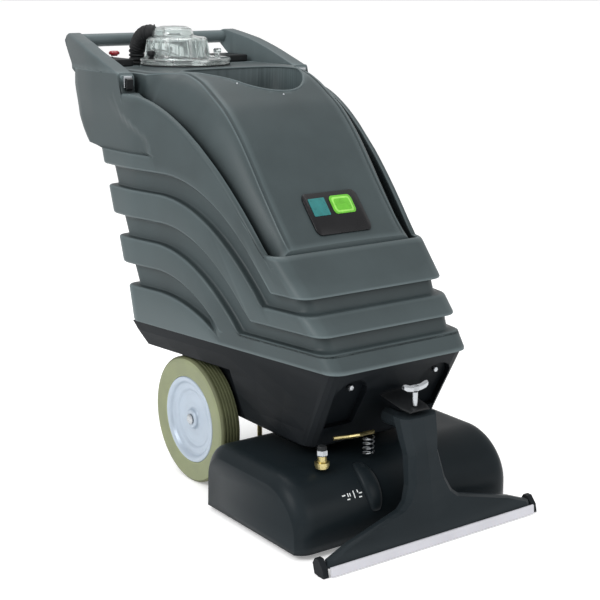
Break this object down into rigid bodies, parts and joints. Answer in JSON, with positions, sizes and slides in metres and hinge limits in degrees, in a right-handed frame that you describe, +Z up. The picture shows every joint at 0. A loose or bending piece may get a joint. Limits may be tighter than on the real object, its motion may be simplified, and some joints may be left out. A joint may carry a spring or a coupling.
{
  "type": "carpet extractor",
  "caption": "Walk-behind carpet extractor: stepped solution tank, lift-off recovery tank under a round clear lid, two large wheels, brush deck and vacuum shoe.",
  "frame": {"origin": "centre of the machine's box on the floor", "axes": "+Z up; -Y towards the vacuum shoe, +Y towards the grip, the longest side; +X towards the right wheel, the shortest side"},
  "size_m": [0.4996, 0.9938, 0.893],
  "materials": {
    "slate_plastic": "moulded, fine texture",
    "base_black": "fine texture",
    "graphite_plastic": "satin",
    "black_plastic": "satin",
    "black_rubber": "matte",
    "clear_plastic": "clear polycarbonate",
    "zinc_steel": "zinc plated",
    "brass": "plain",
    "tyre": "matte grey-green",
    "rim": "silver",
    "red_plastic": "gloss",
    "bristles": "nylon tufts",
    "grey_plastic": "satin",
    "white_plastic": "satin",
    "label": "printed badge, no text"
  },
  "bodies": {
    "chassis": {"solution_tank": "slate_plastic", "handle_bar": "slate_plastic", "control_console": "black_plastic", "inlet_cover": "black_plastic", "cable_gland": "black_rubber", "latch_plate_left": "zinc_steel", "latch_plate_right": "zinc_steel", "base_chassis": "base_black", "axle": "zinc_steel", "axle_cap_left": "zinc_steel", "axle_cap_right": "zinc_steel", "vacuum_motor": "grey_plastic", "solution_pump": "black_plastic", "solution_hose": "grey_plastic", "shoe_duct": "black_plastic", "shoe_bracket": "black_plastic", "pocket_bolt_left": "zinc_steel", "pocket_bolt_right": "zinc_steel", "height_lever": "brass", "height_spring": "zinc_steel", "lift_link": "brass"},
    "recovery": {"recovery_tank": "slate_plastic", "dome_gasket": "black_rubber", "label_plate": "label", "fill_strainer": "black_plastic", "standpipe": "grey_plastic", "float_rod": "zinc_steel"},
    "lid": {"dome_lid": "clear_plastic", "vacuum_hose": "black_rubber"},
    "deck": {"brush_deck": "graphite_plastic", "brush_motor": "zinc_steel", "drive_belt": "black_rubber", "coupling_body": "brass", "coupling_nut": "zinc_steel", "coupling_cap": "black_plastic", "spray_bar": "brass"},
    "brush": {"brush_shaft": "zinc_steel", "brush_bristles": "bristles", "brush_pulley": "zinc_steel"},
    "motor_pulley": {"motor_pulley": "zinc_steel"},
    "shoe": {"vacuum_shoe": "graphite_plastic", "shoe_blade": "white_plastic", "shoe_end_left": "base_black", "shoe_end_right": "base_black"},
    "wheel_left": {"tyre_left": "tyre", "rim_left": "rim"},
    "wheel_right": {"tyre_right": "tyre", "rim_right": "rim"},
    "wing_knob": {"wing_knob": "zinc_steel"},
    "latch_left": {"latch_lever_left": "black_plastic"},
    "latch_right": {"latch_lever_right": "black_plastic"},
    "knob_left": {"lid_knob_left": "black_plastic"},
    "knob_rear": {"lid_knob_rear": "black_plastic"},
    "knob_right": {"lid_knob_right": "black_plastic"},
    "float": {"shutoff_float": "red_plastic"},
    "stop": {"stop_button": "red_plastic"},
    "rocker_vacuum": {"switch_vacuum": "black_plastic"},
    "rocker_brush": {"switch_brush": "black_plastic"},
    "rocker_pump": {"switch_pump": "black_plastic"}
  },
  "joints": [
    {"name": "wheel_left_spin", "type": "hinge", "parent": "chassis", "child": "wheel_left", "pos_m": [-0.1765, 0.03035, 0.127], "axis": [1, 0, 0], "continuous": true},
    {"name": "wheel_right_spin", "type": "hinge", "parent": "chassis", "child": "wheel_right", "pos_m": [0.1765, 0.03035, 0.127], "axis": [1, 0, 0], "continuous": true},
    {"name": "recovery_lift", "type": "slide", "parent": "chassis", "child": "recovery", "axis": [0, 0, 1], "range_m": [0, 0.3]},
    {"name": "lid_lift", "type": "slide", "parent": "recovery", "child": "lid", "axis": [0, 0, 1], "range_m": [0, 0.06]},
    {"name": "float_rise", "type": "slide", "parent": "recovery", "child": "float", "axis": [0, 0, 1], "range_m": [0, 0.03]},
    {"name": "deck_float", "type": "slide", "parent": "chassis", "child": "deck", "axis": [0, 0, 1], "range_m": [0, 0.012], "deforming": ["height_spring"]},
    {"name": "brush_spin", "type": "hinge", "parent": "deck", "child": "brush", "pos_m": [0, -0.31465, 0.058], "axis": [1, 0, 0], "continuous": true},
    {"name": "motor_spin", "type": "hinge", "parent": "deck", "child": "motor_pulley", "pos_m": [0.213, -0.17465, 0.075], "axis": [1, 0, 0], "continuous": true},
    {"name": "shoe_float", "type": "slide", "parent": "chassis", "child": "shoe", "axis": [0, 0, 1], "range_m": [0, 0.005]},
    {"name": "wing_knob_turn", "type": "hinge", "parent": "chassis", "child": "wing_knob", "pos_m": [0, -0.42415, 0.2475], "axis": [0, 0, 1], "range_deg": [0, 720]},
    {"name": "latch_left_swing", "type": "hinge", "parent": "chassis", "child": "latch_left", "pos_m": [-0.211, 0.21225, 0.785], "axis": [1, 0, 0], "range_deg": [-80, 0]},
    {"name": "latch_right_swing", "type": "hinge", "parent": "chassis", "child": "latch_right", "pos_m": [0.211, 0.21225, 0.785], "axis": [1, 0, 0], "range_deg": [-80, 0]},
    {"name": "lid_knob_left_turn", "type": "hinge", "parent": "lid", "child": "knob_left", "pos_m": [-0.09088, 0.3319, 0.8126], "axis": [0, 0, 1], "range_deg": [0, 720]},
    {"name": "lid_knob_rear_turn", "type": "hinge", "parent": "lid", "child": "knob_rear", "pos_m": [0.00141, 0.42103, 0.8126], "axis": [0, 0, 1], "range_deg": [0, 720]},
    {"name": "lid_knob_right_turn", "type": "hinge", "parent": "lid", "child": "knob_right", "pos_m": [0.07868, 0.34376, 0.8126], "axis": [0, 0, 1], "range_deg": [0, 720]},
    {"name": "switch_vacuum_rock", "type": "hinge", "parent": "chassis", "child": "rocker_vacuum", "pos_m": [-0.156, 0.40035, 0.813], "axis": [1, 0, 0], "range_deg": [-4, 0]},
    {"name": "switch_brush_rock", "type": "hinge", "parent": "chassis", "child": "rocker_brush", "pos_m": [-0.156, 0.42535, 0.813], "axis": [1, 0, 0], "range_deg": [-4, 0]},
    {"name": "switch_pump_rock", "type": "hinge", "parent": "chassis", "child": "rocker_pump", "pos_m": [-0.156, 0.45035, 0.813], "axis": [1, 0, 0], "range_deg": [-4, 0]},
    {"name": "stop_press", "type": "slide", "parent": "chassis", "child": "stop", "axis": [0, 0, -1], "range_m": [0, 0.003], "stiffness_N_per_m": 300}
  ],
  "couplings": [
    {"joint": "motor_spin", "follows": "brush_spin", "ratio": 2}
  ]
}
